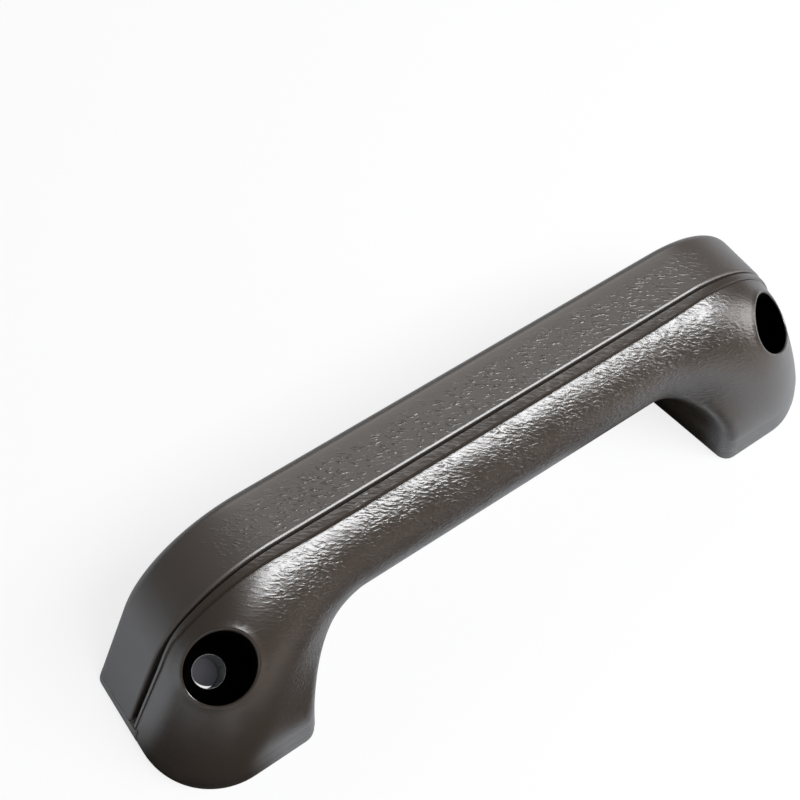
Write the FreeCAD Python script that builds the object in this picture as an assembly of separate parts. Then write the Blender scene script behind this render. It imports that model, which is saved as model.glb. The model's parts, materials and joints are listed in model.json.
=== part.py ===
import FreeCAD, Part
import math
import os

# Door pull handle: a round grip on two flared legs, with an outer cover let in along a groove.
# Millimetres. X runs along the handle, +Z away from the door, feet on Z = 0.
# The round side with the screw recesses is at -Y and the flat side at +Y.

# Overall form
HALF_LENGTH = 120.2        # outer end of a foot from the middle
LEAN_DEG = 7.4             # grip and flat side lean towards +Y, from the door's normal
FLAT_SIDE_Y = 20.6         # flat side at the mounting plane
TOP_HEIGHT = 57.3          # outer face of the cover, measured along the lean
ARCH_HEIGHT = 18.9         # lowest line of the grip, measured along the lean

# Grip section
GRIP_RADIUS = 19.15        # round side and finger side
GRIP_CENTRE = 13.05        # centre of that round, in from the flat side

# Side profile
END_LEAN = 0.396           # inward run of the end face for each unit of height
CORNER_RADIUS = 39.9       # outer corner between the top and the end face
ARCH_RADIUS = 15.5         # finger opening's upper corner
ARCH_FOOT_RUN = 0.5        # how far the leg's inner side runs out from that corner to the foot

# Foot outline on the mounting plane
FOOT_WIDTH = 48.2          # from the flat side to the curved side
FOOT_LENGTH = 53.6         # from the inner end to the outer end, at the flat side
FOOT_SKEW = 10.6           # how much further out the inner end lies at the curved side
FOOT_OUTER_RADIUS = 22.5   # outer corner of the curved side
FOOT_CURVED_RADIUS = 4.5   # inner corner of the curved side
FOOT_FLAT_RADIUS = 5.0     # inner corner of the flat side
FOOT_INNER_X = HALF_LENGTH - FOOT_LENGTH
ARCH_CENTRE_X = FOOT_INNER_X - ARCH_RADIUS - ARCH_FOOT_RUN

# Outer cover
COVER_WIDTH = 18.1         # from the flat side to the groove
COVER_WALL = 2.8
COVER_SIDE_WALL = 2.4      # web on the flat side
COVER_EDGE_RADIUS = 3.4    # long outer edge beside the flat side
COVER_LIP_RADIUS = 0.9     # raised edge along the groove
COVER_SEAM_MARGIN = 7.5    # flat web ends this far from the finger opening
COVER_PROUD = 0.8          # cover stands this much above the body on the grip
COVER_CLEARANCE = 0.15
GROOVE_GAP = 0.7           # open gap between cover and body on the grip
GROOVE_END_GAP = 1.6       # the same gap at the foot
GROOVE_END_HEIGHT = 45.0   # leaned height at which the gap starts to widen
NOTCH_WIDTH = 3.0          # end of the groove above the foot
NOTCH_HEIGHT = 3.2
NOTCH_DEPTH = 4.0
FOOT_FLANGE = 3.0          # body's own edge below the cover

# Narrow strip beside the groove
STRIP_WIDTH = 3.4
STRIP_DROP = 0.9           # fall across the strip
STRIP_STEP = 0.5           # fine step between the strip and the round
STRIP_STEP_RUN = 0.3       # width of that step
STRIP_END_WIDTH = 1.0      # strip at the foot

# Screw recess and holes
SCREW_INSET = 24.6         # screw axis on the mounting plane, in from the foot's outer end
SCREW_X = HALF_LENGTH - SCREW_INSET
SCREW_Y = 5.1
SCREW_TILT_DEG = 15.0      # axis tilts towards the curved side
RECESS_RADIUS = 9.0
RECESS_FLOOR = 19.0        # recess floor, measured along the axis from the mounting plane
HOLE_RADIUS = 4.5
SECOND_HOLE_INSET = 14.8   # blind hole's axis, in from the foot's outer end
SECOND_HOLE_X = HALF_LENGTH - SECOND_HOLE_INSET
SECOND_HOLE_Y = -2.4
SECOND_HOLE_DEPTH = 12.0   # its bore ends below the recess floor

# Pocket in the mounting face and the insert in it
POCKET_RIM_FLAT = 4.6
POCKET_RIM_OUTER = 4.9
POCKET_RIM_CURVED = 8.1
POCKET_RIM_INNER = 6.6
POCKET_OUTER_RADIUS = 13.0
POCKET_CURVED_RADIUS = 7.0
POCKET_FLAT_RADIUS = 1.5
INSERT_RECESS = 1.6        # insert's face lies this far inside the mounting plane
INSERT_PLATE = 3.0
INSERT_CLEARANCE = 0.2
INSERT_GAP = 1.0           # open gap along the flat side and the outer end
BOSS_RADIUS = 6.2
BOSS_CLEARANCE = 0.15
BOSS_END_GAP = 0.3

# How the freeform round is carried
ROUND_POINTS = 41          # points from the strip to the flat side
ROUND_PATCHES = 4          # faces side by side that share the round
LEAD_SHARES = (0.9, 0.97)  # places on the straight grip that lead into the corner
CORNER_TURNS = (0, 3, 8, 16, 26, 38, 50, 62, 76, 90)
FOOT_BLEND = 0.92          # how much of the foot's outline the leg has at the end of the corner
BELOW = 4.0                # the form runs this far below the mounting plane before it is cut flat
SHIFT_SHARE = 0.35         # part of the round that takes up the strip's step

LEAN = math.radians(LEAN_DEG)
SCREW_TILT = math.radians(SCREW_TILT_DEG)
BIG = 400.0

Vector = FreeCAD.Vector


def leaned(x, u, v):
    """World point from a place along the handle, a distance in from the flat side and a leaned height."""
    return Vector(
        x,
        FLAT_SIDE_Y - u * math.cos(LEAN) + v * math.sin(LEAN),
        u * math.sin(LEAN) + v * math.cos(LEAN),
    )


def stand_up(shape):
    """Turn a shape from the drawing frame (x, -u, v) to the world."""
    turned = shape.copy()
    turned.rotate(Vector(0, 0, 0), Vector(1, 0, 0), -LEAN_DEG)
    turned.translate(Vector(0, FLAT_SIDE_Y, 0))
    return turned


def other_side(shape):
    """The same shape on the other half of the handle."""
    return shape.mirror(Vector(0, 0, 0), Vector(1, 0, 0))


def block(low, high):
    """Box between two corners."""
    size = Vector(*high) - Vector(*low)
    return Part.makeBox(size.x, size.y, size.z, Vector(*low))


# Side profile of the outside: a level top, an arc and a leaning end line

def end_line_x(v, inset=0.0):
    """Place of the end face at a leaned height."""
    return HALF_LENGTH - END_LEAN * v - inset * math.hypot(1.0, END_LEAN)


def corner_centre():
    """Centre of the outer corner's arc."""
    v = TOP_HEIGHT - CORNER_RADIUS
    x = end_line_x(v) - CORNER_RADIUS * math.hypot(1.0, END_LEAN)
    return x, v


def outer_reach(origin, direction):
    """Distance from a point in the side view to the outside profile, along a unit direction."""
    ox, ov = origin
    dx, dv = direction
    cx, cv = corner_centre()
    hits = []
    if dv > 1e-9:
        t = (TOP_HEIGHT - ov) / dv
        if ox + t * dx <= cx:
            hits.append(t)
    rise = 1.0 / math.hypot(1.0, END_LEAN)
    normal = (rise, END_LEAN * rise)
    along = normal[0] * dx + normal[1] * dv
    if along > 1e-9:
        t = -normal[0] * (ox - end_line_x(ov)) / along
        if (ov + t * dv) - cv <= (CORNER_RADIUS * normal[1]):
            hits.append(t)
    if not hits:
        b = (ox - cx) * dx + (ov - cv) * dv
        c = (ox - cx) ** 2 + (ov - cv) ** 2 - CORNER_RADIUS ** 2
        hits.append(-b + math.sqrt(b * b - c))
    return min(hits)


def closed_wire(edges):
    return Part.Wire([edge.toShape() for edge in edges])


def side_wire(inset):
    """Closed side view of the outside, in the drawing frame, down past the mounting plane."""
    cx, cv = corner_centre()
    radius = CORNER_RADIUS - inset
    tilt = math.atan(END_LEAN)
    mid = 0.5 * (math.pi / 2 + tilt)
    top = TOP_HEIGHT - inset
    low_v = -0.5 * TOP_HEIGHT
    low_x = end_line_x(low_v, inset)
    end = (cx + radius * math.cos(tilt), cv + radius * math.sin(tilt))
    half = (cx + radius * math.cos(mid), cv + radius * math.sin(mid))
    return closed_wire([
        Part.LineSegment(Vector(-cx, 0, top), Vector(cx, 0, top)),
        Part.Arc(Vector(cx, 0, top), Vector(half[0], 0, half[1]), Vector(end[0], 0, end[1])),
        Part.LineSegment(Vector(end[0], 0, end[1]), Vector(low_x, 0, low_v)),
        Part.LineSegment(Vector(low_x, 0, low_v), Vector(-low_x, 0, low_v)),
        Part.LineSegment(Vector(-low_x, 0, low_v), Vector(-end[0], 0, end[1])),
        Part.Arc(Vector(-end[0], 0, end[1]), Vector(-half[0], 0, half[1]), Vector(-cx, 0, top)),
    ])


def arch_wire(margin):
    """Closed side view of the finger opening, grown by a margin."""
    radius = ARCH_RADIUS + margin
    centre_v = ARCH_HEIGHT - ARCH_RADIUS
    side = ARCH_CENTRE_X + radius
    top = ARCH_HEIGHT + margin
    diag = radius * math.sqrt(0.5)
    low_v = -0.5 * TOP_HEIGHT
    return closed_wire([
        Part.LineSegment(Vector(-ARCH_CENTRE_X, 0, top), Vector(ARCH_CENTRE_X, 0, top)),
        Part.Arc(
            Vector(ARCH_CENTRE_X, 0, top),
            Vector(ARCH_CENTRE_X + diag, 0, centre_v + diag),
            Vector(side, 0, centre_v),
        ),
        Part.LineSegment(Vector(side, 0, centre_v), Vector(side, 0, low_v)),
        Part.LineSegment(Vector(side, 0, low_v), Vector(-side, 0, low_v)),
        Part.LineSegment(Vector(-side, 0, low_v), Vector(-side, 0, centre_v)),
        Part.Arc(
            Vector(-side, 0, centre_v),
            Vector(-ARCH_CENTRE_X - diag, 0, centre_v + diag),
            Vector(-ARCH_CENTRE_X, 0, top),
        ),
    ])


def prism(wire, near, far):
    """Solid between two distances from the flat side, in the drawing frame."""
    solid = Part.Face(wire).extrude(Vector(0, near - far, 0))
    solid.translate(Vector(0, -near, 0))
    return solid


def slab(near, far):
    """Everything between two distances from the flat side, in the drawing frame."""
    return block((-BIG, -far, -BIG), (BIG, -near, BIG))


# Round of a section, from the strip's end to the flat side, as a wire in (a, b)

def plane_point(a, b):
    return Vector(a, b, 0)


def grip_round(start_a):
    """Round of the grip: one arc from the strip to the flat side."""
    start = math.acos((start_a - GRIP_CENTRE) / GRIP_RADIUS)
    finish = math.acos(GRIP_CENTRE / GRIP_RADIUS) - math.pi
    middle = 0.5 * (start + finish)

    def at(angle):
        return plane_point(
            GRIP_CENTRE + GRIP_RADIUS * math.cos(angle),
            GRIP_RADIUS + GRIP_RADIUS * math.sin(angle),
        )

    return Part.Wire([Part.Arc(at(start), at(middle), at(finish)).toShape()])


def corner_arc(before, corner, after, radius):
    """Arc that rounds a corner, with its two tangent points."""
    first = (before - corner).normalize()
    second = (after - corner).normalize()
    half = 0.5 * math.acos(first.dot(second))
    reach = radius / math.tan(half)
    start = corner + first * reach
    finish = corner + second * reach
    bisector = (first + second).normalize()
    centre = corner + bisector * (radius / math.sin(half))
    middle = centre - bisector * radius
    return start, Part.Arc(start, middle, finish).toShape(), finish


def foot_round(start_a, depth):
    """Round of the foot's outline: outer end, curved side and inner end."""
    start = plane_point(start_a, depth)
    outer = plane_point(FOOT_WIDTH, depth)
    curved = plane_point(FOOT_WIDTH, FOOT_SKEW)
    flat = plane_point(0.0, 0.0)
    up = plane_point(0.0, depth)
    s1, arc1, f1 = corner_arc(start, outer, curved, FOOT_OUTER_RADIUS)
    s2, arc2, f2 = corner_arc(outer, curved, flat, FOOT_CURVED_RADIUS)
    s3, arc3, f3 = corner_arc(curved, flat, up, FOOT_FLAT_RADIUS)
    return Part.Wire([
        Part.LineSegment(start, s1).toShape(), arc1,
        Part.LineSegment(f1, s2).toShape(), arc2,
        Part.LineSegment(f2, s3).toShape(), arc3,
    ])


def smooth(t):
    """Ease from 0 to 1."""
    t = min(max(t, 0.0), 1.0)
    return t * t * (3.0 - 2.0 * t)


def mixed(first, second, share):
    return first * (1.0 - share) + second * share


def section_wire(origin, lateral, outward, depth, blend):
    """Closed section: flat side, seat under the cover, strip, fine step and round."""
    proud = mixed(COVER_PROUD, 0.0, blend)
    strip_a = COVER_WIDTH + mixed(STRIP_WIDTH, STRIP_END_WIDTH, blend)
    drop = mixed(STRIP_DROP, 0.0, blend)
    step = mixed(STRIP_STEP, 0.1 * STRIP_STEP, blend)
    seat_b = depth - proud
    start_a = strip_a + STRIP_STEP_RUN
    start_b = seat_b - drop - step
    stretch = max(1.0, seat_b / (2.0 * GRIP_RADIUS))
    points = []
    grip_points = grip_round(start_a).discretize(Number=ROUND_POINTS)
    foot_points = foot_round(start_a, depth).discretize(Number=ROUND_POINTS)
    for near, far in zip(grip_points, foot_points):
        points.append((mixed(near.x, far.x, blend), mixed(near.y * stretch, far.y, blend)))
    shift = start_b - points[0][1]
    count = float(ROUND_POINTS - 1)
    carried = []
    for i, (a, b) in enumerate(points):
        fade = max(0.0, 1.0 - i / (SHIFT_SHARE * count))
        carried.append(origin + lateral * a + outward * (b + shift * fade * fade))
    curve = Part.BSplineCurve()
    curve.interpolate(Points=carried, Parameters=[i / count for i in range(ROUND_POINTS)])
    corner = [
        carried[-1],
        origin + outward * seat_b,
        origin + lateral * COVER_WIDTH + outward * seat_b,
        origin + lateral * strip_a + outward * (seat_b - drop),
        carried[0],
    ]
    edges = [Part.LineSegment(corner[i], corner[i + 1]).toShape() for i in range(4)]
    for i in range(ROUND_PATCHES):
        patch = curve.copy()
        patch.segment(i / ROUND_PATCHES, (i + 1) / ROUND_PATCHES)
        edges.append(patch.toShape())
    return Part.Wire(edges)


def stations():
    """Frames of the right corner's sections, from the straight grip to below the foot."""
    lateral = leaned(0, 1, 0) - leaned(0, 0, 0)
    upward = leaned(0, 0, 1) - leaned(0, 0, 0)
    along = Vector(1, 0, 0)
    centre = (ARCH_CENTRE_X, ARCH_HEIGHT - ARCH_RADIUS)
    frames = []
    for share in LEAD_SHARES:
        origin = leaned(share * ARCH_CENTRE_X, 0, ARCH_HEIGHT)
        frames.append((origin, lateral, upward, TOP_HEIGHT - ARCH_HEIGHT, 0.0))
    for turn in CORNER_TURNS:
        angle = math.radians(turn)
        direction = (math.sin(angle), math.cos(angle))
        inner = (centre[0] + ARCH_RADIUS * direction[0], centre[1] + ARCH_RADIUS * direction[1])
        outward = along * direction[0] + upward * direction[1]
        blend = FOOT_BLEND * smooth(turn / CORNER_TURNS[-1])
        frames.append((leaned(inner[0], 0, inner[1]), lateral, outward, outer_reach(inner, direction), blend))
    for fall in (0.0, BELOW):
        origin = Vector(FOOT_INNER_X, FLAT_SIDE_Y - fall * math.sin(LEAN), -fall)
        depth = HALF_LENGTH + END_LEAN * fall - FOOT_INNER_X
        frames.append((origin, Vector(0, -1, 0), along, depth, 1.0))
    return frames


def outer_form():
    """Body's outside from foot to foot: a straight grip between two freeform corners, cut flat."""
    frames = stations()
    corner = Part.makeLoft([section_wire(*frame) for frame in frames], True, False)
    corner = corner.cut(block((-BIG, -BIG, -BIG), (ARCH_CENTRE_X, BIG, BIG)))
    start = leaned(-ARCH_CENTRE_X, 0, ARCH_HEIGHT)
    section = Part.Face(section_wire(start, *frames[0][1:]))
    grip = section.extrude(Vector(2.0 * ARCH_CENTRE_X, 0, 0))
    form = grip.fuse([corner, other_side(corner)])
    return form.cut(block((-BIG, -BIG, -BIG), (BIG, BIG, 0.0)))


# Outer cover and the seat for it

def above_flange(clearance):
    return block((-BIG, -BIG, FOOT_FLANGE + clearance), (BIG, BIG, BIG))


def outer_cover():
    """L-shaped cover: band over the top and both ends, and a web on the flat side."""
    solid = prism(side_wire(0.0), 0.0, COVER_WIDTH)

    def long_edges(u):
        chosen = []
        for edge in solid.Edges:
            box = edge.BoundBox
            on_side = abs(box.YMin + u) < 1e-6 and abs(box.YMax + u) < 1e-6
            if on_side and box.ZMax > 0.0:
                chosen.append(edge)
        return chosen

    solid = solid.makeFillet(COVER_EDGE_RADIUS, long_edges(0.0))
    solid = solid.makeFillet(COVER_LIP_RADIUS, long_edges(COVER_WIDTH))
    hollow = prism(side_wire(COVER_WALL), COVER_SIDE_WALL, 2.0 * COVER_WIDTH)
    opening = prism(arch_wire(COVER_SEAM_MARGIN), -COVER_WIDTH, 2.0 * COVER_WIDTH)
    return stand_up(solid.cut(hollow).cut(opening)).common(above_flange(COVER_CLEARANCE))


def cover_seat():
    """What the body loses for the cover, the groove and its wider ends."""
    band = slab(-BIG, COVER_WIDTH + GROOVE_GAP)
    core = prism(side_wire(COVER_WALL + COVER_CLEARANCE), -BIG, BIG)
    web = slab(-BIG, COVER_SIDE_WALL + COVER_CLEARANCE)
    arch = prism(arch_wire(COVER_SEAM_MARGIN - COVER_CLEARANCE), -BIG, BIG)
    wall = COVER_WIDTH + GROOVE_GAP
    widest = COVER_WIDTH + GROOVE_END_GAP
    wedge_wire = Part.makePolygon([
        Vector(-BIG, -COVER_WIDTH, GROOVE_END_HEIGHT),
        Vector(-BIG, -wall, GROOVE_END_HEIGHT),
        Vector(-BIG, -widest, 0),
        Vector(-BIG, -COVER_WIDTH, 0),
        Vector(-BIG, -COVER_WIDTH, GROOVE_END_HEIGHT),
    ])
    wedge = Part.Face(wedge_wire).extrude(Vector(2.0 * BIG, 0, 0))
    seat = band.fuse([wedge]).cut(core).fuse([web.cut(arch)])
    return stand_up(seat).common(above_flange(0.0))


def groove_notch():
    """Small end of the groove above the right foot."""
    top = FOOT_FLANGE + NOTCH_HEIGHT
    outer = end_line_x(top) - NOTCH_DEPTH
    y = FLAT_SIDE_Y - COVER_WIDTH
    return block((outer, y - NOTCH_WIDTH, FOOT_FLANGE), (BIG, y, top))


# Screw recess, pocket and insert of the right foot

def screw_axis():
    return Vector(0, -math.sin(SCREW_TILT), math.cos(SCREW_TILT))


def screw_rod(x, y, radius, start, length):
    """Cylinder along the screw axis from a place on the mounting plane."""
    axis = screw_axis()
    return Part.makeCylinder(radius, length, Vector(x, y, 0) + axis * start, axis)


def pocket_wire(flat_gap, outer_gap, gap, z):
    """Outline of the pocket, shrunk by gaps."""
    flat_y = FLAT_SIDE_Y - POCKET_RIM_FLAT - flat_gap
    curved_y = FLAT_SIDE_Y - FOOT_WIDTH + POCKET_RIM_CURVED + gap
    outer_x = HALF_LENGTH - POCKET_RIM_OUTER - outer_gap
    slope = FOOT_SKEW / FOOT_WIDTH

    def inner_x(y):
        return FOOT_INNER_X + POCKET_RIM_INNER + gap + slope * (FLAT_SIDE_Y - y)

    corners = [
        (Vector(inner_x(flat_y), flat_y, z), POCKET_FLAT_RADIUS),
        (Vector(outer_x, flat_y, z), POCKET_FLAT_RADIUS),
        (Vector(outer_x, curved_y, z), POCKET_OUTER_RADIUS - gap),
        (Vector(inner_x(curved_y), curved_y, z), POCKET_CURVED_RADIUS - gap),
    ]
    arcs = []
    for i, (corner, radius) in enumerate(corners):
        before = corners[i - 1][0]
        after = corners[(i + 1) % len(corners)][0]
        arcs.append(corner_arc(before, corner, after, radius))
    edges = []
    for i, (start, arc, finish) in enumerate(arcs):
        edges.append(arc)
        edges.append(Part.LineSegment(finish, arcs[(i + 1) % len(arcs)][0]).toShape())
    return Part.Wire(edges)


def pocket():
    """Pocket in the mounting face with the bores for the insert's bosses."""
    depth = INSERT_RECESS + INSERT_PLATE
    cavity = Part.Face(pocket_wire(0.0, 0.0, 0.0, 0.0)).extrude(Vector(0, 0, depth))
    radius = BOSS_RADIUS + BOSS_CLEARANCE
    long_bore = screw_rod(SCREW_X, SCREW_Y, radius, 0.0, RECESS_FLOOR + BOSS_CLEARANCE)
    blind = screw_rod(SECOND_HOLE_X, SECOND_HOLE_Y, radius, 0.0, SECOND_HOLE_DEPTH + INSERT_PLATE)
    return cavity.fuse([long_bore, blind])


def foot_insert():
    """Plate with two bosses along the screw axis: one screw hole through, one blind hole."""
    face = Part.Face(pocket_wire(INSERT_GAP, INSERT_GAP, INSERT_CLEARANCE, INSERT_RECESS))
    plate = face.extrude(Vector(0, 0, INSERT_PLATE))
    tube = screw_rod(SCREW_X, SCREW_Y, BOSS_RADIUS, 0.0, RECESS_FLOOR)
    cup = screw_rod(SECOND_HOLE_X, SECOND_HOLE_Y, BOSS_RADIUS, 0.0, SECOND_HOLE_DEPTH + INSERT_PLATE - BOSS_END_GAP)
    above = block((-BIG, -BIG, INSERT_RECESS), (BIG, BIG, BIG))
    solid = plate.fuse([tube.common(above), cup.common(above)])
    through = screw_rod(SCREW_X, SCREW_Y, HOLE_RADIUS, -BIG, 2.0 * BIG)
    blind = screw_rod(SECOND_HOLE_X, SECOND_HOLE_Y, HOLE_RADIUS, 0.0, SECOND_HOLE_DEPTH)
    return solid.cut(through.fuse([blind])).removeSplitter()


def recess():
    """Screw recess, open to the outside."""
    return screw_rod(SCREW_X, SCREW_Y, RECESS_RADIUS, RECESS_FLOOR, BIG)


def with_flange_corners(body):
    """Round the outer corner of each foot flange as the cover above it is."""
    corners = []
    for edge in body.Edges:
        box = edge.BoundBox
        upright = box.ZMin < STRIP_STEP and abs(box.ZMax - FOOT_FLANGE) < STRIP_STEP
        outer = min(abs(box.XMin), abs(box.XMax)) > HALF_LENGTH - FOOT_FLANGE
        if upright and outer and box.YMin > FLAT_SIDE_Y - STRIP_STEP:
            corners.append(edge)
    return body.makeFillet(COVER_EDGE_RADIUS, corners)


def grip_body():
    """Round side, finger side and legs in one piece, with every seat and recess."""
    body = outer_form().cut(cover_seat())
    for cutter in (groove_notch(), pocket(), recess()):
        body = body.cut(cutter.fuse([other_side(cutter)]))
    return body


def pieces():
    """Every piece by its node name."""
    right = foot_insert()
    return {
        "grip_body": with_flange_corners(grip_body()),
        "outer_cover": outer_cover(),
        "right_foot_insert": right,
        "left_foot_insert": other_side(right),
    }


if __name__ == "__main__":
    os.makedirs("parts", exist_ok=True)
    for name, shape in pieces().items():
        solid = shape.Solids[0] if len(shape.Solids) == 1 else shape
        box = solid.BoundBox
        print(name, solid.isValid(), len(shape.Solids), round(solid.Volume), box)
        solid.exportStep("parts/" + name + ".step")
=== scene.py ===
"""Looks of a door pull handle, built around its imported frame.

The handle stands on its two feet. Its grip body and its outer cover are lofted again as
smooth skins from the same sizes as the solids, the foot inserts keep their solids, and
every surface gets a procedural finish.
"""

import json
import logging
import math
from dataclasses import dataclass, replace
from enum import Enum
from typing import Sequence

import bmesh
import bpy
from mathutils import Matrix, Vector
from mathutils.bvhtree import BVHTree

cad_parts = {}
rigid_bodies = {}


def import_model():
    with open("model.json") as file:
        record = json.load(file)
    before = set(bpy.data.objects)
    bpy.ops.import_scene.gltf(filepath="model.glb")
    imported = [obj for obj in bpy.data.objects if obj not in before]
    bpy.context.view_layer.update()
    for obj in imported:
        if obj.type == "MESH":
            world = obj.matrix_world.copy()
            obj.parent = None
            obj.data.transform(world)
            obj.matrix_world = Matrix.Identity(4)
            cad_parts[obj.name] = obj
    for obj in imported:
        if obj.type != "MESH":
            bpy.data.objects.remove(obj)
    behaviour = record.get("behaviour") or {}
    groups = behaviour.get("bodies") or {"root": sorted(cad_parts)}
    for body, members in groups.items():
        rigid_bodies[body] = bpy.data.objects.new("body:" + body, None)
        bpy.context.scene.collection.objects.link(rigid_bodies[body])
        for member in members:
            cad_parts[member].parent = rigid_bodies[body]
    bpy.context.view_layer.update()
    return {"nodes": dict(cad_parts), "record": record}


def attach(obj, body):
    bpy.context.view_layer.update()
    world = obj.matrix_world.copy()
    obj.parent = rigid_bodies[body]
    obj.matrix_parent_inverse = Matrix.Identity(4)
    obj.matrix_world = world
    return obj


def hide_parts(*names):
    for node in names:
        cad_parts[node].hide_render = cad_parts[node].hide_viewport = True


LOG = logging.getLogger("door_pull_handle")
MM = 0.001
TINY = 1e-9
WELD = 1e-6
# Highest value of t * (1 - t) ** 2, the shape of a recess's lip.
LIP_PEAK = 4.0 / 27.0
Loop = list[Vector]
Ring = list[bmesh.types.BMVert]


def smooth(t: float) -> float:
    """Ease from 0 to 1."""
    t = min(max(t, 0.0), 1.0)
    return t * t * (3.0 - 2.0 * t)


def mixed(first: float, second: float, share: float) -> float:
    """Straight mix of two numbers."""
    return first * (1.0 - share) + second * share


@dataclass(frozen=True)
class HandleForm:
    """Driving sizes of the handle, in millimetres, as its solids have them."""

    half_length: float = 120.2
    lean_deg: float = 7.4
    flat_side_y: float = 20.6
    top_height: float = 57.3
    arch_height: float = 18.9
    grip_radius: float = 19.15
    grip_centre: float = 13.05
    end_lean: float = 0.396
    corner_radius: float = 39.9
    arch_radius: float = 15.5
    arch_centre_x: float = 50.6
    foot_width: float = 48.2
    foot_inner_x: float = 66.6
    foot_skew: float = 10.6
    foot_outer_radius: float = 22.5
    foot_curved_radius: float = 4.5
    foot_flat_radius: float = 5.0
    foot_blend: float = 0.92
    foot_flange: float = 3.0
    strip_width: float = 3.4
    strip_drop: float = 1.25
    strip_step: float = 0.5
    strip_step_run: float = 0.3
    strip_end_width: float = 1.0
    shift_share: float = 0.35

    @property
    def lean(self) -> float:
        """Lean of the flat side in radians."""
        return math.radians(self.lean_deg)

    def leaned(self, x: float, u: float, v: float) -> Vector:
        """Place from the length, the distance in from the flat side and the leaned height."""
        c, s = math.cos(self.lean), math.sin(self.lean)
        return Vector((x, self.flat_side_y - u * c + v * s, u * s + v * c))

    def leaned_height(self, place: Vector) -> float:
        """Leaned height of a place."""
        c, s = math.cos(self.lean), math.sin(self.lean)
        return s * (place.y - self.flat_side_y) + c * place.z

    def end_line_x(self, v: float, inset: float = 0.0) -> float:
        """Place of the end face at a leaned height."""
        return self.half_length - self.end_lean * v - inset * math.hypot(1.0, self.end_lean)

    def reach(self, x: float, v: float, direction: tuple[float, float], inset: float = 0.0) -> float:
        """Distance from a point of the side view to the outside profile.

        Args:
            x: Place along the handle.
            v: Leaned height.
            direction: Unit direction in the side view.
            inset: How far inside the profile the distance ends.

        Returns:
            The distance in millimetres.
        """
        dx, dv = direction
        cv = self.top_height - self.corner_radius
        slope = math.hypot(1.0, self.end_lean)
        cx = self.end_line_x(cv) - self.corner_radius * slope
        radius = self.corner_radius - inset
        if dv > TINY:
            t = (self.top_height - inset - v) / dv
            if x + t * dx <= cx:
                return t
        along = (dx + self.end_lean * dv) / slope
        if along > TINY:
            t = (self.end_line_x(v, inset) - x) / (slope * along)
            if (v + t * dv) - cv <= radius * self.end_lean / slope:
                return t
        b = (x - cx) * dx + (v - cv) * dv
        c = (x - cx) ** 2 + (v - cv) ** 2 - radius ** 2
        return -b + math.sqrt(max(b * b - c, 0.0))

    def depth(self, station: "Station", a: float = 0.0, inset: float = 0.0) -> float:
        """Distance outward in a section plane, from a place across it, to the outside profile."""
        origin = station.origin + station.lateral * a
        return self.reach(origin.x, self.leaned_height(origin), station.direction, inset)


@dataclass(frozen=True)
class Station:
    """One section plane across the handle, on its right half or mirrored."""

    origin: Vector
    lateral: Vector
    outward: Vector
    direction: tuple[float, float]
    blend: float
    side: float = 1.0

    def place(self, a: float, b: float) -> Vector:
        """World place, in millimetres, of a point of the section."""
        point = self.origin + self.lateral * a + self.outward * b
        return Vector((self.side * point.x, point.y, point.z))


@dataclass
class Path:
    """Stations of the handle's right half, from the middle down to the foot."""

    form: HandleForm
    grip_steps: int = 36
    corner_steps: int = 96
    leg_steps: int = 6
    notch_shares: tuple[float, ...] = (0.9953, 0.9956)

    def grip_and_corner(self) -> list[Station]:
        """Stations from the middle to the end of the corner.

        Returns:
            The stations, in order.
        """
        form = self.form
        lateral = (form.leaned(0, 1, 0) - form.leaned(0, 0, 0)).normalized()
        upward = (form.leaned(0, 0, 1) - form.leaned(0, 0, 0)).normalized()
        along = Vector((1.0, 0.0, 0.0))
        stations = []
        for i in range(self.grip_steps):
            x = form.arch_centre_x * i / self.grip_steps
            stations.append(Station(form.leaned(x, 0, form.arch_height), lateral, upward, (0.0, 1.0), 0.0))
        centre_v = form.arch_height - form.arch_radius
        shares = [i / self.corner_steps for i in range(self.corner_steps + 1)]
        for share in sorted(shares + list(self.notch_shares)):
            angle = share * math.pi / 2
            direction = (math.sin(angle), math.cos(angle))
            x = form.arch_centre_x + form.arch_radius * direction[0]
            v = centre_v + form.arch_radius * direction[1]
            outward = along * direction[0] + upward * direction[1]
            blend = form.foot_blend * smooth(share)
            stations.append(Station(form.leaned(x, 0, v), lateral, outward, direction, blend))
        return stations

    def leg(self, heights: Sequence[float]) -> list[Station]:
        """Stations from the end of the corner down to each of some heights at the flat side.

        Args:
            heights: Heights above the mounting plane, falling.

        Returns:
            The stations, one for each height.
        """
        form = self.form
        last = self.grip_and_corner()[-1]
        foot = Vector((form.foot_inner_x, form.flat_side_y, 0.0))
        along, level = Vector((1.0, 0.0, 0.0)), Vector((0.0, -1.0, 0.0))
        stations = []
        for height in heights:
            share = 1.0 - height / last.origin.z
            eased = share * share
            origin = last.origin.lerp(foot, share)
            lateral = last.lateral.lerp(level, eased).normalized()
            blend = mixed(last.blend, 1.0, eased)
            stations.append(Station(origin, lateral, along, (1.0, 0.0), blend))
        return stations

    def half(self, floor: float) -> list[Station]:
        """Stations from the middle down to a floor.

        Args:
            floor: Height of the last station above the mounting plane, at the flat side.

        Returns:
            The stations, in order.
        """
        upper = self.grip_and_corner()
        start, steps = upper[-1].origin.z, self.leg_steps
        return upper + self.leg([mixed(start, floor, (i + 1) / steps) for i in range(steps)])


def mirror_station(station: Station) -> Station:
    """The same station on the left half."""
    return replace(station, side=-1.0)


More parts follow.
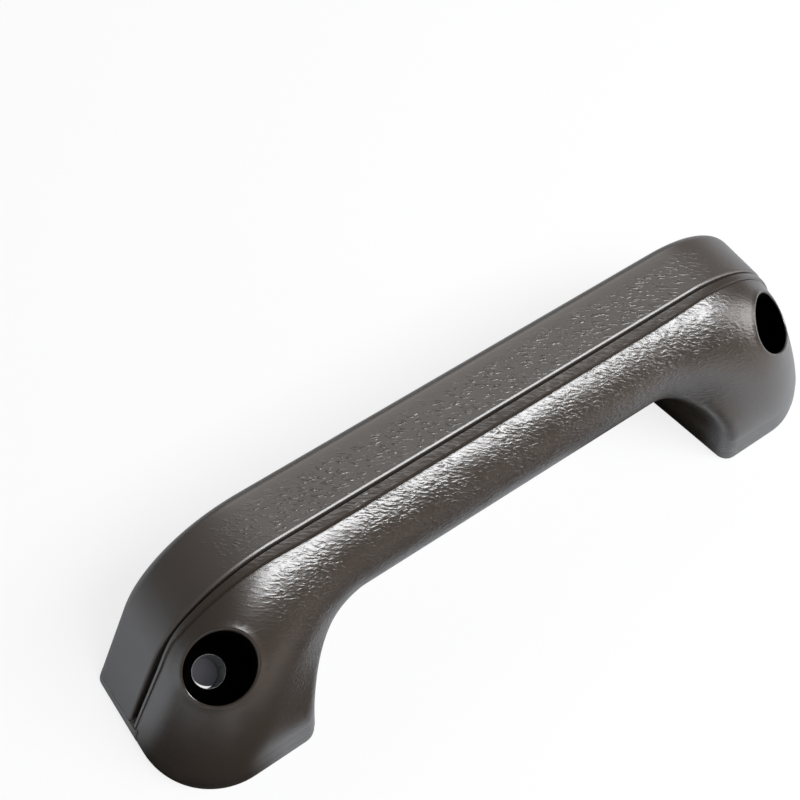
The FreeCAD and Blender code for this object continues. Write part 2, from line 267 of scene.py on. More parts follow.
class Skin:
    """A bmesh skin that grows by extruding one closed section along stations."""

    def __init__(self, name: str) -> None:
        """Start an empty skin."""
        self.name = name
        self.mesh = bmesh.new()

    def start(self, section: Loop) -> Ring:
        """Make the first section's loop.

        Args:
            section: Places of the loop's points, in millimetres.

        Returns:
            The loop's vertices, in order.
        """
        verts = [self.mesh.verts.new(place * MM) for place in section]
        for i, vert in enumerate(verts):
            self.mesh.edges.new((vert, verts[(i + 1) % len(verts)]))
        return verts

    def extend(self, loop: Ring, section: Loop) -> Ring:
        """Extrude a loop to the next section.

        Args:
            loop: Vertices of the last loop, in order.
            section: Places of the new loop, in millimetres, in the same order.

        Returns:
            The new loop's vertices, in order.
        """
        count = len(loop)
        edges = [self.mesh.edges.get((loop[i], loop[(i + 1) % count])) for i in range(count)]
        grown = bmesh.ops.extrude_edge_only(self.mesh, edges=edges)["geom"]
        fresh = {item for item in grown if isinstance(item, bmesh.types.BMVert)}
        result = []
        for vert, place in zip(loop, section):
            twin = next(e.other_vert(vert) for e in vert.link_edges if e.other_vert(vert) in fresh)
            twin.co = place * MM
            result.append(twin)
        return result

    def loft(self, sections: Sequence[Loop]) -> tuple[Ring, Ring]:
        """Grow the skin through some sections.

        Args:
            sections: Places of each section's points, in millimetres.

        Returns:
            The first and the last loop of vertices.
        """
        first = loop = self.start(sections[0])
        for section in sections[1:]:
            loop = self.extend(loop, section)
        return first, loop

    def close(self, loops: Sequence[Ring]) -> None:
        """Fill the flat area that some loops bound.

        Args:
            loops: Vertices of the loops, in order.
        """
        edges = []
        for loop in loops:
            for i, vert in enumerate(loop):
                edges.append(self.mesh.edges.get((vert, loop[(i + 1) % len(loop)])))
        bmesh.ops.triangle_fill(self.mesh, use_beauty=True, use_dissolve=False, edges=edges)

    def finish(self, sharp_deg: float) -> bpy.types.Object:
        """Turn the skin into an object with smooth faces and sharp edges past an angle.

        Args:
            sharp_deg: Angle between faces past which an edge is sharp.

        Returns:
            The object, linked to the scene.
        """
        bmesh.ops.remove_doubles(self.mesh, verts=self.mesh.verts, dist=WELD)
        bmesh.ops.recalc_face_normals(self.mesh, faces=self.mesh.faces)
        limit = math.radians(sharp_deg)
        for face in self.mesh.faces:
            face.smooth = True
        for edge in self.mesh.edges:
            edge.smooth = not (len(edge.link_faces) == 2 and edge.calc_face_angle(0.0) > limit)
        data = bpy.data.meshes.new(self.name)
        self.mesh.to_mesh(data)
        self.mesh.free()
        thing = bpy.data.objects.new(self.name, data)
        bpy.context.scene.collection.objects.link(thing)
        return thing


def arc_points(before: Vector, corner: Vector, after: Vector, radius: float, count: int) -> Loop:
    """Points of an arc that rounds a flat corner.

    Args:
        before: A point on the line that comes in.
        corner: The sharp corner.
        after: A point on the line that goes out.
        radius: Radius of the arc.
        count: Number of points.

    Returns:
        The points, from the first line to the second.
    """
    first = (before - corner).normalized()
    second = (after - corner).normalized()
    half = 0.5 * first.angle(second)
    centre = corner + (first + second).normalized() * (radius / math.sin(half))
    start = corner + first * (radius / math.tan(half)) - centre
    end = corner + second * (radius / math.tan(half)) - centre
    points = []
    for i in range(count):
        arm = start.slerp(end, i / (count - 1)).normalized()
        points.append(centre + arm * radius)
    return points


def spread(line: Loop, count: int) -> Loop:
    """Points at even distances along a line of points.

    Args:
        line: Points of the line.
        count: Number of new points.

    Returns:
        The new points, from end to end.
    """
    lengths = [0.0]
    for near, far in zip(line, line[1:]):
        lengths.append(lengths[-1] + (far - near).length)
    points = []
    k = 0
    for i in range(count):
        goal = lengths[-1] * i / (count - 1)
        while k < len(line) - 2 and lengths[k + 1] < goal:
            k += 1
        step = lengths[k + 1] - lengths[k]
        share = (goal - lengths[k]) / step if step > 0 else 0.0
        points.append(line[k].lerp(line[k + 1], share))
    return points


@dataclass
class OuterCover:
    """L-shaped cover: band over the top and both ends, and a web on the flat side."""

    form: HandleForm
    width: float = 18.1
    wall: float = 2.8
    side_wall: float = 2.4
    edge_radius: float = 3.4
    lip: tuple[tuple[float, float], ...] = (
        (0.72, 0.0), (0.64, 0.02), (0.2, 0.25), (0.12, 0.32), (0.02, 0.47), (0.0, 0.6),
    )
    seam_margin: float = 7.5
    clearance: float = 0.15
    flat_margin: float = 1.2
    inner_round: float = 0.4
    seam_round: float = 0.2
    edge_steps: int = 10
    flat_steps: int = 7
    side_steps: int = 4
    sharp_deg: float = 35.0

    def outside(self) -> list[tuple[float, float]]:
        """Outside of the section, from the web to the groove.

        Returns:
            Each point's distance in from the flat side and its drop below the top.
        """
        points = []
        for i in range(self.edge_steps + 1):
            angle = 0.5 * math.pi * i / self.edge_steps
            a = self.edge_radius * (1.0 - math.cos(angle))
            drop = self.edge_radius * (1.0 - math.sin(angle))
            points.append((a, drop))
        flat_end = self.width - self.flat_margin
        for i in range(1, self.flat_steps + 1):
            points.append((mixed(self.edge_radius, flat_end, i / self.flat_steps), 0.0))
        return points + [(self.width - inset, drop) for inset, drop in self.lip]

    def section(self, station: Station) -> Loop:
        """Closed section at a station.

        Args:
            station: The section plane.

        Returns:
            Places of the loop's points.
        """
        form = self.form
        inner = (
            (self.width, self.wall), (self.side_wall + self.inner_round, self.wall),
            (self.side_wall, self.wall + self.inner_round),
        )
        drops = [*self.outside(), *inner]
        places = [station.place(a, form.depth(station, a, drop)) for a, drop in drops]
        low = self.seam_margin + self.seam_round
        high = form.depth(station, 0.0, self.edge_radius)
        seam = ((self.side_wall, self.seam_margin), (self.seam_round, self.seam_margin), (0.0, low))
        side = ((0.0, mixed(low, high, i / self.side_steps)) for i in range(1, self.side_steps))
        return places + [station.place(a, b) for a, b in (*seam, *side)]

    def build(self) -> bpy.types.Object:
        """Loft the cover between the two foot flanges.

        Returns:
            The cover's object.
        """
        half = Path(self.form).half(self.form.foot_flange + self.clearance)
        stations = [mirror_station(s) for s in reversed(half[1:])] + half
        skin = Skin("outer_cover_skin")
        for loop in skin.loft([self.section(s) for s in stations]):
            skin.close([loop])
        return skin.finish(self.sharp_deg)


@dataclass
class ScrewRecess:
    """Round recess with a rounded lip, sunk along the screw axis of one foot."""

    mouth_axis: Vector
    foot_point: Vector
    radius: float = 9.0
    floor: float = 19.0
    floor_round: float = 0.5
    lip: float = 1.3
    lip_rise: float = 0.24
    boss_bore: float = 6.35
    cut_radius: float = 11.8
    cut_height: float = 4.0
    rim_passes: int = 12
    rim_ease: float = 0.25
    lip_steps: int = 8
    bore_points: int = 48
    ray_height: float = 120.0
    stud_shift: tuple[float, float] = (9.8, -7.5)
    stud_depth: float = 15.0

    def arm(self, angle: float) -> Vector:
        """Unit direction across the axis.

        Args:
            angle: Angle round the axis.

        Returns:
            The direction.
        """
        side = self.mouth_axis.cross(Vector((0.0, 1.0, 0.0))).normalized()
        up = self.mouth_axis.cross(side).normalized()
        return side * math.cos(angle) + up * math.sin(angle)

    def angle_of(self, place: Vector) -> float:
        """Angle of a place round the axis."""
        rel = place - self.foot_point
        return math.atan2(rel.dot(self.arm(0.5 * math.pi)), rel.dot(self.arm(0.0)))

    def distance(self, place: Vector) -> float:
        """Distance of a place from the axis."""
        rel = place - self.foot_point
        return (rel - self.mouth_axis * rel.dot(self.mouth_axis)).length

    def on_skin(self, tree: BVHTree, radius: float, angle: float) -> Vector:
        """Place on the skin round the axis.

        Args:
            tree: The uncut skin.
            radius: Distance from the axis.
            angle: Angle round the axis.

        Returns:
            The place, in millimetres.
        """
        start = self.foot_point + self.arm(angle) * radius + self.mouth_axis * self.ray_height
        hit = tree.ray_cast(start * MM, -self.mouth_axis)[0]
        return hit / MM

    def bore_ring(self, shift: tuple[float, float], angles: Sequence[float], level: float) -> Loop:
        """Ring of a boss bore at a height above the mounting plane.

        Args:
            shift: Place of the bore beside the screw, along the handle and across it.
            angles: Angles of the ring's points.
            level: Height of the ring.

        Returns:
            Places of the ring's points, all at that height.
        """
        centre = self.foot_point + Vector((shift[0], shift[1], 0.0))
        ring = []
        for angle in angles:
            place = centre + self.arm(angle) * self.boss_bore
            ring.append(place + self.mouth_axis * ((level - place.z) / self.mouth_axis.z))
        return ring

    def stud_bore(self, skin: Skin, level: float) -> Ring:
        """Blind bore beside the screw's, for the insert's second boss.

        Args:
            skin: The body's skin.
            level: Height of the pocket's ceiling.

        Returns:
            The bore's mouth.
        """
        side = 1.0 if self.foot_point.x > 0.0 else -1.0
        shift = (side * self.stud_shift[0], self.stud_shift[1])
        angles = [2.0 * math.pi * i / self.bore_points for i in range(self.bore_points)]
        mouth = skin.start(self.bore_ring(shift, angles, level))
        centre = self.foot_point + Vector((shift[0], shift[1], 0.0)) + self.mouth_axis * self.stud_depth
        end = skin.extend(mouth, [centre + self.arm(angle) * self.boss_bore for angle in angles])
        skin.close([end])
        return mouth

    def sink(self, skin: Skin, tree: BVHTree, level: float) -> Ring:
        """Cut the recess into a body's skin.

        Args:
            skin: The body's skin.
            tree: The uncut skin, for places on it.
            level: Height of the pocket's ceiling, where the screw's bore comes out.

        Returns:
            The bore's ring in that ceiling.
        """
        mesh = skin.mesh
        lowest = self.foot_point + self.mouth_axis * (self.floor + self.cut_height)
        inside = []
        for face in mesh.faces:
            centre = face.calc_center_median() / MM
            above = (centre - lowest).dot(self.mouth_axis) > 0.0
            outward = face.normal.dot(self.mouth_axis) > 0.0
            if above and outward and self.distance(centre) < self.cut_radius:
                inside.append(face)
        chosen = set(inside)
        rim = [e for f in inside for e in f.edges if any(o not in chosen for o in e.link_faces)]
        loop = self.ordered(rim)
        bmesh.ops.delete(mesh, geom=inside, context="FACES")
        count = len(loop)
        even = [self.angle_of(vert.co / MM) for vert in loop]
        for _ in range(self.rim_passes):
            pulls = [
                self.wrapped(even[i - 1] - here) + self.wrapped(even[(i + 1) % count] - here)
                for i, here in enumerate(even)
            ]
            even = [here + self.rim_ease * pull for here, pull in zip(even, pulls)]
        start_radius = self.radius + self.lip
        loop = skin.extend(loop, [self.on_skin(tree, start_radius, angle) for angle in even])
        for i in range(1, self.lip_steps + 1):
            t = i / self.lip_steps
            rise = self.mouth_axis * (self.lip_rise / LIP_PEAK * t * (1.0 - t) ** 2)
            ring = []
            for angle in even:
                outer = self.on_skin(tree, start_radius, angle)
                corner = self.on_skin(tree, self.radius, angle)
                below = corner - self.mouth_axis * self.lip
                ring.append(outer * (1 - t) ** 2 + corner * (2 * t * (1 - t)) + below * t * t + rise)
            loop = skin.extend(loop, ring)
        steps = (
            (self.radius, self.floor + self.floor_round),
            (self.radius - self.floor_round, self.floor),
            (self.boss_bore, self.floor),
        )
        for radius, height in steps:
            centre = self.foot_point + self.mouth_axis * height
            loop = skin.extend(loop, [centre + self.arm(angle) * radius for angle in even])
        return skin.extend(loop, self.bore_ring((0.0, 0.0), even, level))

    @staticmethod
    def wrapped(angle: float) -> float:
        """Angle between minus and plus half a turn."""
        return math.atan2(math.sin(angle), math.cos(angle))

    @staticmethod
    def ordered(edges: Sequence[bmesh.types.BMEdge]) -> Ring:
        """Vertices of a closed rim.

        Args:
            edges: The rim's edges, in any order.

        Returns:
            The vertices, in order round the rim.
        """
        links: dict[bmesh.types.BMVert, Ring] = {}
        for edge in edges:
            near, far = edge.verts
            links.setdefault(near, []).append(far)
            links.setdefault(far, []).append(near)
        start = next(iter(sorted(links, key=lambda v: v.index)))
        loop = [start]
        last, here = start, links[start][0]
        while here is not start:
            loop.append(here)
            ahead = [v for v in links[here] if v is not last]
            last, here = here, ahead[0]
        return loop


@dataclass
class GripBody:
    """Round side, finger side, legs and foot rims in one skin."""

    form: HandleForm
    cover: OuterCover
    recesses: list[ScrewRecess]
    proud: float = 0.45
    groove_gap: float = 0.7
    groove_end_gap: float = 1.9
    groove_end_height: float = 45.0
    groove_end_run: float = 14.0
    notch_width: float = 3.0
    notch_height: float = 3.2
    line_depth: float = 0.32
    line_run: float = 0.2
    end_line_share: float = 0.4
    end_step_share: float = 0.1
    strip_least: float = 0.9
    strip_round: tuple[tuple[float, float], ...] = ((-0.06, 0.17), (0.0, 0.75))
    step_knee: tuple[float, float] = (0.6, 0.8)
    notch_share: float = 0.3
    notch_spread: float = 0.02
    round_points: int = 110
    foot_round_points: tuple[int, int, int] = (24, 10, 10)
    seat_steps: int = 6
    edge_round: float = 0.3
    edge_knee: float = 0.3
    edge_fall: float = 0.05
    flange_steps: int = 7
    flange_stops: tuple[float, ...] = (-0.6, 0.0, 0.2)
    foot_rims: tuple[tuple[float, float], ...] = (
        (0.85, 0.0), (0.73, 0.22), (0.3, 0.22), (0.1, 0.32), (0.0, 0.52),
    )
    sharp_deg: float = 32.0
    pocket_points: int = 10
    pocket_depth: float = 4.6
    pocket_rims: tuple[float, float, float, float] = (4.6, 4.9, 8.1, 6.6)
    pocket_radii: tuple[float, float, float, float] = (1.5, 1.5, 13.0, 7.0)

    def grip_round(self, start_a: float, stretch: float) -> Loop:
        """Round of the grip in the section plane, from the strip to the flat side.

        Args:
            start_a: Where the round starts across the plane.
            stretch: Share by which it is higher than a circle.

        Returns:
            The points, as (across, outward, 0).
        """
        form = self.form
        start = math.acos((start_a - form.grip_centre) / form.grip_radius)
        finish = math.acos(form.grip_centre / form.grip_radius) - math.pi
        points = []
        for i in range(self.round_points):
            angle = mixed(start, finish, i / (self.round_points - 1))
            a = form.grip_centre + form.grip_radius * math.cos(angle)
            b = form.grip_radius * (1.0 + math.sin(angle)) * stretch
            points.append(Vector((a, b, 0.0)))
        return points

    def foot_round(self, start_a: float, depth: float) -> Loop:
        """Round of the foot's outline in the section plane.

        Args:
            start_a: Where the round starts across the plane.
            depth: Distance to the outside profile.

        Returns:
            The points, as (across, outward, 0).
        """
        form = self.form
        start = Vector((start_a, depth, 0.0))
        outer = Vector((form.foot_width, depth, 0.0))
        curved = Vector((form.foot_width, form.foot_skew, 0.0))
        flat = Vector((0.0, 0.0, 0.0))
        up = Vector((0.0, depth, 0.0))
        line = [start, outer, curved, flat, up]
        radii = (form.foot_outer_radius, form.foot_curved_radius, form.foot_flat_radius)
        points = [start]
        for i, (radius, count) in enumerate(zip(radii, self.foot_round_points)):
            points += arc_points(line[i], line[i + 1], line[i + 2], radius, count)
        return spread(points, self.round_points)

    def seat_line(self, station: Station, depth: float, seat_b: float, full: bool) -> Loop:
        """Section from the flat side to the strip: seat under the cover or full form.

        Args:
            station: The section plane.
            depth: Distance to the outside profile.
            seat_b: Height of the body's own surface beside the groove.
            full: Whether the form is full, as in the foot's flange.

        Returns:
            Places of the points.
        """
        form, cover = self.form, self.cover
        seam = cover.seam_margin - cover.clearance
        edge = cover.width + self.groove_width(station, depth)
        if full:
            radius = cover.edge_radius
            places = [(0.0, seam)]
            for i in range(self.flange_steps + 1):
                angle = 0.5 * math.pi * i / self.flange_steps
                fall = radius * (1.0 - math.sin(angle))
                places.append((radius * (1.0 - math.cos(angle)), depth - fall))
            places += [(edge + a, depth) for a in self.flange_stops]
            return [station.place(a, b) for a, b in places]

        web = cover.side_wall + cover.clearance
        wall = cover.wall + cover.clearance
        across = [mixed(web, edge, i / self.seat_steps) for i in range(self.seat_steps + 1)]
        r, knee = self.edge_round, self.edge_knee * self.edge_round
        places = [
            (0.0, seam), (web, seam), *((a, form.depth(station, a, wall)) for a in across),
            (edge, seat_b - r), (edge + knee, seat_b - knee), (edge + r, seat_b - self.edge_fall),
        ]
        return [station.place(a, b) for a, b in places]

    def groove_width(self, station: Station, depth: float, notched: bool = True) -> float:
        """Gap between the cover and the body, wider on the end faces and at the notch.

        Args:
            station: The section plane.
            depth: Distance to the outside profile.
            notched: Whether the notch at the foot counts.

        Returns:
            The gap in millimetres.
        """
        form = self.form
        if station.direction[0] <= 0.0:
            return self.groove_gap
        v = form.leaned_height(station.origin) + depth * station.direction[1]
        widening = smooth((self.groove_end_height - v) / self.groove_end_run)
        notch_top = form.foot_flange + self.notch_height
        if notched and station.place(self.cover.width, depth).z < notch_top:
            return self.notch_width
        return mixed(self.groove_gap, self.groove_end_gap, widening)

    def section(self, station: Station, full: bool = False) -> Loop:
        """Closed section at a station.

        Args:
            station: The section plane.
            full: Whether the cover's seat is left full.

        Returns:
            Places of the loop's points.
        """
        form = self.form
        depth = form.depth(station)
        proud = mixed(self.proud, 0.0, station.blend)
        strip_a = self.cover.width + mixed(form.strip_width, form.strip_end_width, station.blend)
        least = self.cover.width + self.strip_least
        strip_a = max(strip_a, least + self.groove_width(station, depth, False))
        notch = max(0.0, least + self.groove_width(station, depth) - strip_a)
        drop = mixed(form.strip_drop, 0.0, station.blend)
        step = form.strip_step * mixed(1.0, self.end_step_share, station.blend)
        line = self.line_depth * mixed(1.0, self.end_line_share, station.blend)
        seat_b = depth - proud
        start_a = strip_a + form.strip_step_run + self.line_run
        start_b = seat_b - drop - step
        stretch = max(1.0, seat_b / (2.0 * form.grip_radius))
        rounds = zip(self.grip_round(start_a, stretch), self.foot_round(start_a, depth))
        carried = [near.lerp(far, station.blend) for near, far in rounds]
        shift = start_b - carried[0].y
        last = len(carried) - 1
        places = self.seat_line(station, depth, seat_b, full)
        strip_a += notch
        bottom = start_b - line
        run, fall = self.step_knee
        wall = [(a, seat_b - share * drop) for a, share in self.strip_round]
        wall.append((run * form.strip_step_run, mixed(start_b, bottom, fall)))
        wall.append((form.strip_step_run, bottom))
        places += [station.place(strip_a + a, b) for a, b in wall]
        for i, point in enumerate(carried):
            fade = max(0.0, 1.0 - i / (form.shift_share * last))
            least = start_a + notch + self.notch_spread * i
            a = max(point.x, least) if i < self.notch_share * last else point.x
            places.append(station.place(a, point.y + shift * fade * fade))
        return places

    def pocket_outline(self, side: float, z: float) -> Loop:
        """Outline of the pocket in a foot's mounting face.

        Args:
            side: 1 for the right foot, -1 for the left one.
            z: Height of the outline.

        Returns:
            Places of the outline's points.
        """
        form = self.form
        flat_rim, outer_rim, curved_rim, inner_rim = self.pocket_rims
        flat_y = form.flat_side_y - flat_rim
        curved_y = form.flat_side_y - form.foot_width + curved_rim
        outer_x = form.half_length - outer_rim
        slope = form.foot_skew / form.foot_width

        def inner_x(y: float) -> float:
            """Place of the pocket's slanted inner side."""
            return form.foot_inner_x + inner_rim + slope * (form.flat_side_y - y)

        corners = [
            Vector((inner_x(flat_y), flat_y, z)), Vector((outer_x, flat_y, z)),
            Vector((outer_x, curved_y, z)), Vector((inner_x(curved_y), curved_y, z)),
        ]
        outline = []
        for i, (corner, radius) in enumerate(zip(corners, self.pocket_radii)):
            after = corners[(i + 1) % len(corners)]
            outline += arc_points(corners[i - 1], corner, after, radius, self.pocket_points)
        return [Vector((side * p.x, p.y, p.z)) for p in outline]

    def build(self) -> bpy.types.Object:
        """Loft the body from foot to foot, sink the recesses and cut the pockets.

        Returns:
            The body's object.
        """
        form = self.form
        path = Path(form)
        rims = ((form.foot_flange, 0.0), *self.foot_rims)
        heights, insets = zip(*rims)

        def foot_section(station: Station, inset: float) -> Loop:
            """Full section drawn in towards its middle.

            Args:
                station: The section plane.
                inset: How far it is drawn in, in millimetres.

            Returns:
                Places of the loop's points.
            """
            places = self.section(station, True)
            centre = sum(places, Vector()) / len(places)
            share = inset / (0.5 * form.foot_width)
            return [p.lerp(Vector((centre.x, centre.y, p.z)), share) for p in places]

        seated, low = path.half(form.foot_flange), path.leg(heights)
        left = [self.section(mirror_station(s)) for s in seated[:0:-1]]
        right = [self.section(s) for s in seated]
        low_left = [foot_section(mirror_station(s), inset) for s, inset in zip(low, insets)]
        low_right = [foot_section(s, inset) for s, inset in zip(low, insets)]
        skin = Skin("grip_body_skin")
        first, loop = skin.loft([*reversed(low_left), *left, *right, *low_right])
        bmesh.ops.recalc_face_normals(skin.mesh, faces=skin.mesh.faces)
        skin.mesh.verts.index_update()
        tree = BVHTree.FromBMesh(skin.mesh)
        for side, foot_loop, recess in ((-1.0, first, self.recesses[0]), (1.0, loop, self.recesses[1])):
            outline = skin.start(self.pocket_outline(side, 0.0))
            skin.close([foot_loop, outline])
            deep = skin.extend(outline, self.pocket_outline(side, self.pocket_depth))
            bore = recess.sink(skin, tree, self.pocket_depth)
            stud = recess.stud_bore(skin, self.pocket_depth)
            skin.close([deep, bore, stud])
        return skin.finish(self.sharp_deg)


class Wire:
    """A shader socket that arithmetic adds Math nodes to."""

    def __init__(self, kit: "NodeKit", socket: bpy.types.NodeSocket) -> None:
        """Wrap a socket of a node tree."""
        self.kit = kit
        self.socket = socket

    def _math(self, operation: str, *inputs: object) -> "Wire":
        """Add one Math node."""
        return self.kit.node("ShaderNodeMath", {"operation": operation}, dict(enumerate(inputs)))

    def __add__(self, other: object) -> "Wire":
        """Sum."""
        return self._math("ADD", self, other)

    __radd__ = __add__

    def __mul__(self, other: object) -> "Wire":
        """Product."""
        return self._math("MULTIPLY", self, other)

    __rmul__ = __mul__

    def __sub__(self, other: object) -> "Wire":
        """Difference."""
        return self._math("SUBTRACT", self, other)

    def __rsub__(self, other: object) -> "Wire":
        """Reflected difference."""
        return self._math("SUBTRACT", other, self)

    def absolute(self) -> "Wire":
        """Absolute value."""
        return self._math("ABSOLUTE", self)

    def power(self, exponent: float) -> "Wire":
        """Power."""
        return self._math("POWER", self, exponent)

    def length_with(self, other: "Wire") -> "Wire":
        """Length over two directions at right angles."""
        return (self * self + other * other).power(0.5)

    def ramp(self, low: float, high: float) -> "Wire":
        """Smooth ramp.

        Args:
            low: Value up to which the ramp is 0.
            high: Value from which it is 1.

        Returns:
            The ramp.
        """
        return self.kit.node(
            "ShaderNodeMapRange",
            {"interpolation_type": "SMOOTHSTEP", "clamp": True},
            {"Value": self, "From Min": low, "From Max": high, "To Min": 0.0, "To Max": 1.0},
        )

    def window(self, stops: Sequence[float]) -> "Wire":
        """Soft window: 0 outside the outer stops and 1 between the inner ones."""
        return self.ramp(*stops[:2]) * (1.0 - self.ramp(*stops[2:]))

    def lifted(self, floor: float) -> "Wire":
        """The same share, from a floor instead of 0 up to 1."""
        return self * (1.0 - floor) + floor


class NodeKit:
    """Adds nodes to one node tree."""

    def __init__(self, tree: bpy.types.NodeTree) -> None:
        """Start with an empty tree."""
        self.tree = tree
        tree.nodes.clear()

    def add(
        self, kind: str, settings: dict[str, object], inputs: dict[object, object]
    ) -> bpy.types.Node:
        """Add a node.

        Args:
            kind: The node's type.
            settings: Its settings, set first.
            inputs: Values or wires by socket name or number.

        Returns:
            The node.
        """
        node = self.tree.nodes.new(kind)
        for name, value in settings.items():
            setattr(node, name, value)
        for name, value in inputs.items():
            self.feed(node.inputs[name], value)
        return node

    def node(
        self, kind: str, settings: dict[str, object], inputs: dict[object, object], output: object = 0
    ) -> Wire:
        """Output of a new node, by its name or number."""
        return Wire(self, self.add(kind, settings, inputs).outputs[output])

    def feed(self, socket: bpy.types.NodeSocket, value: object) -> None:
        """Link a wire to a socket or set the socket's own value.

        Args:
            socket: The socket.
            value: A wire or a value.
        """
        if isinstance(value, Wire):
            self.tree.links.new(value.socket, socket)
        else:
            socket.default_value = value

    def coordinates(self) -> Wire:
        """Object coordinates, in metres."""
        return self.node("ShaderNodeTexCoord", {}, {}, "Object")

    def mapped(self, vector: Wire, **change: tuple[float, float, float]) -> Wire:
        """Coordinates with a Scale or a Rotation."""
        return self.node("ShaderNodeMapping", {}, {"Vector": vector, **change})

    def axis(self, vector: Wire, name: str) -> Wire:
        """One coordinate of a vector."""
        return self.node("ShaderNodeSeparateXYZ", {}, {0: vector}, name)

    def noise(
        self, vector: Wire, scale: float, detail: float = 2.0, rough: float = 0.5, output: object = 0
    ) -> Wire:
        """Noise value about 0.5, or the noise's colour."""
        inputs = {"Vector": vector, "Scale": scale, "Detail": detail, "Roughness": rough}
        return self.node("ShaderNodeTexNoise", {}, inputs, output)

    def vector(self, operation: str, inputs: dict[object, object]) -> Wire:
        """Vector maths."""
        return self.node("ShaderNodeVectorMath", {"operation": operation}, inputs)

    def warped(self, vector: Wire, scale: float, amount: float) -> Wire:
        """Coordinates pushed about by a noise colour.

        Args:
            vector: Coordinates, in metres.
            scale: Scale of the noise, per metre.
            amount: Longest push, in metres.

        Returns:
            The pushed coordinates.
        """
        colour = self.noise(vector, scale, 1.0, 0.5, "Color")
        centred = self.vector("SUBTRACT", {0: colour, 1: (0.5, 0.5, 0.5)})
        return self.vector("ADD", {0: vector, 1: self.vector("SCALE", {0: centred, "Scale": amount})})

    def mix(self, factor: Wire, first: object, second: object) -> Wire:
        """Colour between two colours.

        Args:
            factor: 0 for the first and 1 for the second.
            first: A colour or a wire.
            second: A colour or a wire.

        Returns:
            The mixed colour.
        """
        ends = [end if isinstance(end, Wire) else (*end, 1.0) for end in (first, second)]
        inputs = {"Factor": factor, 6: ends[0], 7: ends[1]}
        return self.node("ShaderNodeMix", {"data_type": "RGBA"}, inputs, 2)

    def between(self, factor: Wire, first: Wire, second: Wire) -> Wire:
        """Shader between two shaders."""
        return self.node("ShaderNodeMixShader", {}, {0: factor, 1: first, 2: second})


class ShaderKit(NodeKit):
    """Builds one node material."""

    def __init__(self, name: str) -> None:
        """Start a material with a surface shader and an output.

        Args:
            name: The material's name.
        """
        self.material = bpy.data.materials.new(name)
        self.material.use_nodes = True
        super().__init__(self.material.node_tree)
        self.surface = self.add("ShaderNodeBsdfPrincipled", {}, {})
        self.solid = Wire(self, self.surface.outputs["BSDF"])
        self.output = self.add("ShaderNodeOutputMaterial", {}, {"Surface": self.solid})

    def around(self, place: Wire, recess: ScrewRecess) -> tuple[Wire, Wire]:
        """Distance from the screw axis of the nearer foot, and height along that axis.

        Args:
            place: Coordinates, in metres.
            recess: Recess of either foot.

        Returns:
            The two lengths, in metres.
        """
        lean, foot = recess.mouth_axis, recess.foot_point * MM
        out = self.axis(place, "X").absolute() - abs(foot.x)
        y = self.axis(place, "Y") - foot.y
        z = self.axis(place, "Z") - foot.z
        across = y * lean.z - z * lean.y
        return out.length_with(across), y * lean.y + z * lean.z

    def bump(self, height: Wire, distance: float) -> Wire:
        """Normal from a height."""
        inputs = {"Height": height, "Distance": distance, "Strength": 1.0}
        return self.node("ShaderNodeBump", {}, inputs)

    def finish(self, inputs: dict[str, object]) -> bpy.types.Material:
        """Feed the surface shader.

        Args:
            inputs: Values or wires by socket name.

        Returns:
            The material.
        """
        for name, value in inputs.items():
            self.feed(self.surface.inputs[name], value)
        return self.material


class Relief(Enum):
    """Kinds of moulded grain."""

    WRINKLES = "wrinkles"
    FLECKS = "flecks"


@dataclass(frozen=True)
class Grain:
    """Moulded leather grain that fades towards the legs. Lengths in metres, scales per metre."""

    relief: Relief = Relief.WRINKLES
    turn_deg: float = 35.0
    across_scale: float = 1450.0
    along_share: float = 0.22
    wave_detail: float = 1.5
    wave_rough: float = 0.45
    wave_share: float = 0.85
    valley_ramp: tuple[float, float] = (0.0, 0.2)
    valley_share: float = 0.05
    fleck_ramp: tuple[float, float] = (0.51, 0.73)
    depth: float = 0.00046
    warp_scale: float = 260.0
    warp: float = 0.0014
    patch_scale: float = 70.0
    patch_detail: float = 2.0
    patch_ramp: tuple[float, float] = (0.3, 0.65)
    patch_floor: float = 0.4
    band_y: tuple[float, ...] = ()
    full_to: float = 0.058
    gone_from: float = 0.094
    left_over: float = 0.06

    def height(self, kit: ShaderKit, place: Wire) -> Wire:
        """Height of the grain.

        Args:
            kit: The material's nodes.
            place: Coordinates, in metres.

        Returns:
            The height, in metres.
        """
        out = kit.axis(place, "X").absolute()
        keep = (1.0 - out.ramp(self.full_to, self.gone_from)).lifted(self.left_over)
        pushed = kit.warped(place, self.warp_scale, self.warp)
        turned = kit.mapped(pushed, Rotation=(0.0, 0.0, math.radians(self.turn_deg)))
        run = kit.mapped(turned, Scale=(self.along_share, 1.0, 1.0))
        waves = kit.noise(run, self.across_scale, self.wave_detail, self.wave_rough)
        patches = kit.noise(place, self.patch_scale, self.patch_detail).ramp(*self.patch_ramp)
        if self.relief is Relief.FLECKS:
            shape = waves.ramp(*self.fleck_ramp) * kit.axis(place, "Y").window(self.band_y)
        else:
            valleys = (waves - 0.5).absolute().ramp(*self.valley_ramp)
            shape = waves * self.wave_share + valleys * self.valley_share
        return shape * patches.lifted(self.patch_floor) * keep * self.depth


